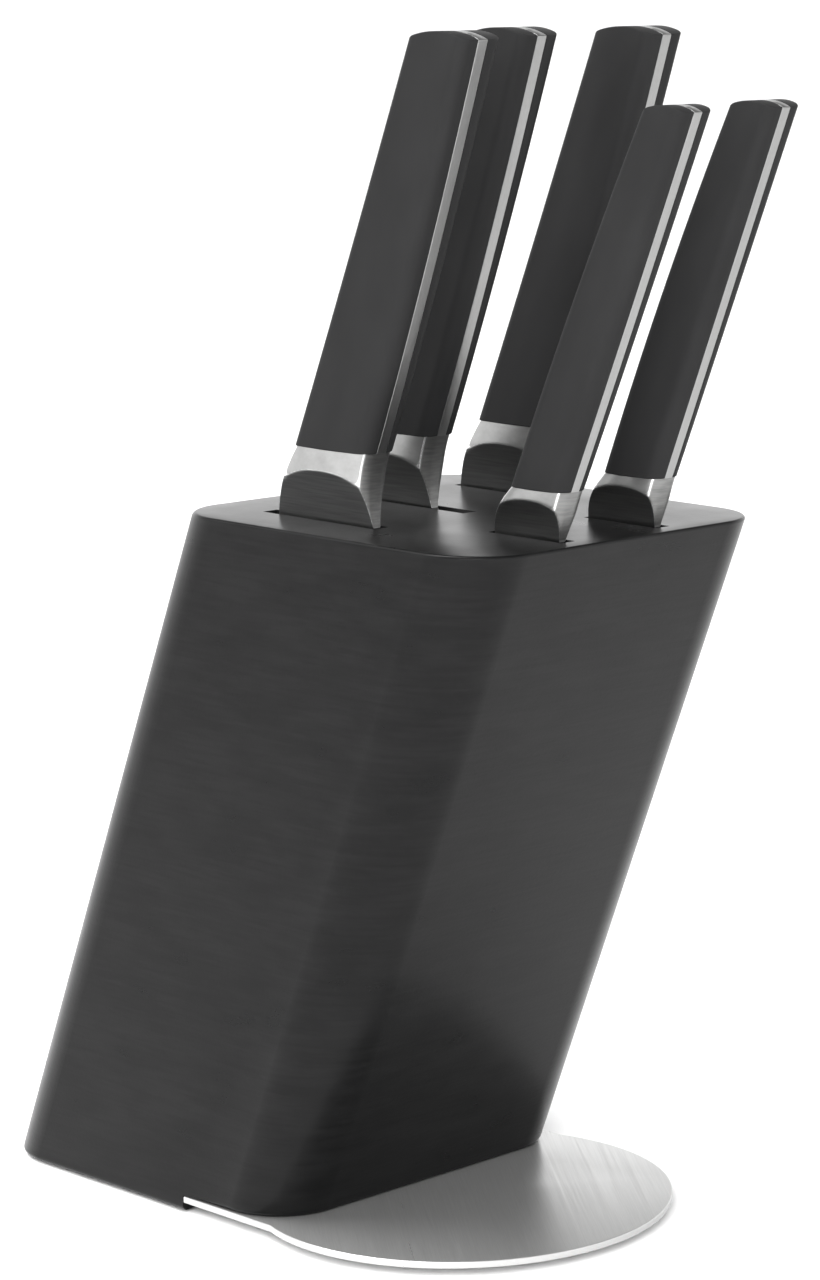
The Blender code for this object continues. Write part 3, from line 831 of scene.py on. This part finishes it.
def blade_stations(knife):
    """Stations from the point to the butt, and the marks of each."""
    count = round(knife.blade / (SCALLOPED_STEP if knife.scallop else BLADE_STEP))
    stations = [blade_station(knife, -knife.blade * (1 - i / count)) for i in range(count)]
    rows = 2 * CORNER_LEVELS + MIDDLE_LEVELS + 1
    marks = [[ON_BLADE] * rows for _ in stations]
    ramp = round(knife.joint / RAMP_STEP)
    for i in range(ramp + 1):
        station, station_marks = bolster_station(knife, knife.joint * i / ramp)
        stations.append(station)
        marks.append(station_marks)
    for along, inset, lift in [(knife.joint + TANG_STEP, TANG_STEP, 0.0)] + handle_plan(knife, knife.joint):
        stations.append(tang_station(knife, along, inset, lift))
        marks.append([ON_TANG] * rows)
    return stations, marks


def build_knife(knife, blade_material, tang_material, scale_material):
    """One forged piece with its tang in another finish, and two scales."""
    body = lofted(*blade_stations(knife))
    for face in body.faces:
        along = (face.calc_center_median().z - TOP_Z) / LEAN.z / MM
        face.material_index = 1 if along > knife.joint else 0
    mesh = finish_mesh(body, f"{knife.name}_steel", [blade_material, tang_material])
    add_piece(mesh, knife.name, "knife_steel", f"{knife.name}_blade")
    for label, side in (("left", -1), ("right", 1)):
        body = lofted(scale_stations(knife, side))
        mesh = finish_mesh(body, f"{knife.name}_grip_{label}", [scale_material])
        add_piece(mesh, knife.name, "scale_black", f"{knife.name}_scale_{label}")


# ---------------------------------------------------------------- stage, lights, camera

def build_stage():
    """Wide pale floor."""
    bm = bmesh.new()
    bm.faces.new([bm.verts.new(point) for point in circle(FLOOR_RADIUS, 0.0, steps=DISC_STEPS)])
    floor = bpy.data.objects.new("floor", finish_mesh(bm, "floor", [pale_floor()]))
    bpy.context.scene.collection.objects.link(floor)


def direction_to(azimuth, elevation):
    """Unit vector away from the object; azimuth 0 is -Y and 90 is +X."""
    a, e = math.radians(azimuth), math.radians(elevation)
    return Vector((math.sin(a) * math.cos(e), -math.cos(a) * math.cos(e), math.sin(e)))


def softbox(name, azimuth, elevation, distance, size, power):
    """Area light on a sphere about the object, facing it."""
    data = bpy.data.lights.new(name, "AREA")
    data.shape = "RECTANGLE"
    data.size, data.size_y = size
    data.energy = power
    light = bpy.data.objects.new(name, data)
    bpy.context.scene.collection.objects.link(light)
    away = direction_to(azimuth, elevation)
    light.location = LIGHTS_AIM + away * distance
    light.rotation_mode = "QUATERNION"
    light.rotation_quaternion = away.to_track_quat("Z", "Y")
    light.visible_camera = False
    return light


def build_world():
    """Pale surroundings, bright at the horizon and dimmer overhead."""
    world = bpy.data.worlds.new("studio")
    world.use_nodes = True
    nodes, links = world.node_tree.nodes, world.node_tree.links
    direction = nodes.new("ShaderNodeTexCoord").outputs["Generated"]
    height = nodes.new("ShaderNodeSeparateXYZ")
    fade = nodes.new("ShaderNodeMapRange")
    for socket, value in zip(("From Min", "From Max", "To Min", "To Max"), (*SKY_FADE, HORIZON, ZENITH)):
        fade.inputs[socket].default_value = value
    links.new(direction, height.inputs["Vector"])
    links.new(height.outputs["Z"], fade.inputs["Value"])
    links.new(fade.outputs["Result"], nodes["Background"].inputs["Strength"])
    nodes["Background"].inputs["Color"].default_value = (1.0, 1.0, 1.0, 1.0)
    bpy.context.scene.world = world


def build_lights():
    """Key and wide sun from the camera's left, front light, and a fill that no surface mirrors."""
    build_world()
    softbox("key", azimuth=-140, elevation=50, distance=3.0, size=(2.2, 2.2), power=35)
    sun = bpy.data.objects.new("sun", bpy.data.lights.new("sun", "SUN"))
    sun.data.energy = SUN_ENERGY
    sun.data.angle = math.radians(SUN_SPREAD)
    sun.rotation_euler = (math.radians(SUN_TILT), 0.0, math.radians(SUN_AZIMUTH))
    bpy.context.scene.collection.objects.link(sun)
    softbox("front", azimuth=-52, elevation=22, distance=2.6, size=(1.8, 1.2), power=30)
    fill = softbox("fill", azimuth=-48, elevation=30, distance=2.8, size=(1.5, 1.5), power=140)
    fill.visible_glossy = False


def build_camera():
    data = bpy.data.cameras.new("camera")
    data.sensor_width = CAMERA_SENSOR
    data.lens = CAMERA_LENS
    back = direction_to(CAMERA_AZIMUTH, CAMERA_ELEVATION)
    level = (-back).cross(Vector((0.0, 0.0, 1.0))).normalized()
    upward = back.cross(level)
    roll = math.radians(CAMERA_ROLL)
    right = level * math.cos(roll) + upward * math.sin(roll)
    up = upward * math.cos(roll) - level * math.sin(roll)
    camera = bpy.data.objects.new("camera", data)
    turn = Matrix((right, up, back)).transposed().to_4x4()
    camera.matrix_world = Matrix.Translation(CAMERA_PLACE) @ turn
    bpy.context.scene.collection.objects.link(camera)
    bpy.context.scene.camera = camera
    bpy.context.scene.view_settings.view_transform = "Standard"


# ---------------------------------------------------------------- everything

def dress_cad_nodes(pin_material, screw_material):
    """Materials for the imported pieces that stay: pins and screws."""
    for name, node in frame["nodes"].items():
        if "_pin_" in name:
            material = pin_material
        elif name in SCREWS:
            material = screw_material
        else:
            continue
        node.data.materials.clear()
        node.data.materials.append(material)


def main():
    build_camera()
    blade, tang, scale, black_rubber = forged_steel(), tang_steel(), satin_scale(), rubber()
    build_block(painted_wood())
    build_plate(plate_steel())
    build_disc("base_grip_pad", "grip_pad_under_plate", PAD_EDGE, black_rubber)
    for node, name in zip(FEET, ("foot_left", "foot_right")):
        build_disc(node, name, FOOT_EDGE, black_rubber)
    for knife in KNIVES:
        build_knife(knife, blade, tang, scale)
    dress_cad_nodes(tang, zinc())
    build_stage()
    build_lights()


main()
